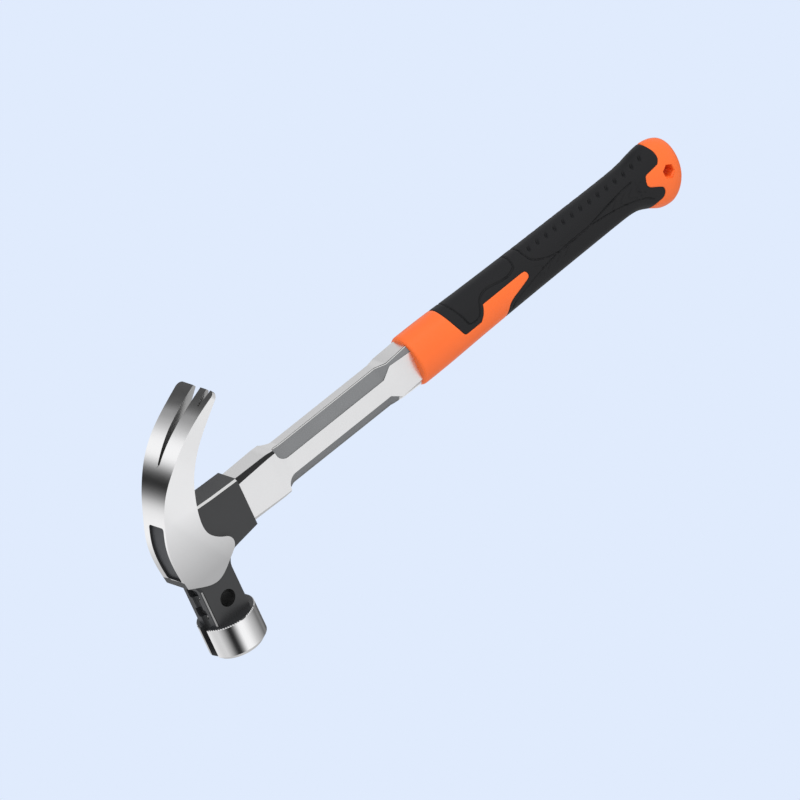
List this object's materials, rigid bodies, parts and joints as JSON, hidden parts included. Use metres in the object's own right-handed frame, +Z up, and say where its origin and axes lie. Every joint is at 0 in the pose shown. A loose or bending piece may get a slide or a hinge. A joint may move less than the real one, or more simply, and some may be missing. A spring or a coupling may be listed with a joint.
{
  "type": "claw hammer",
  "caption": "Curved claw hammer with a forged head, a waisted steel tube handle, a soft cushioned grip with a flared tail, a nail starter on the neck and a hexagonal hang hole.",
  "frame": {"origin": "centre of the bounding box's bottom, with the hammer lying on its side", "axes": "+X along the handle towards the head's top, +Y towards the striking face, +Z up, square to the cheeks"},
  "size_m": [0.3478, 0.1296, 0.0306],
  "materials": {
    "head_steel": "polished claw, satin cheeks, dark painted neck and collar",
    "cover_plastic": "matte dark grey",
    "magnet_metal": "plated",
    "shaft_steel": "satin silver",
    "wedge_steel": "plain",
    "grip_hard": "satin moulded",
    "grip_soft": "matte"
  },
  "bodies": {
    "root": {"hammer_head": "head_steel", "eye_cover": "cover_plastic", "nail_magnets": "magnet_metal", "shaft_tube": "shaft_steel", "tang_wedge": "wedge_steel", "grip_sleeve": "grip_hard", "soft_grip": "grip_soft", "tail_cap": "grip_hard"}
  },
  "joints": []
}
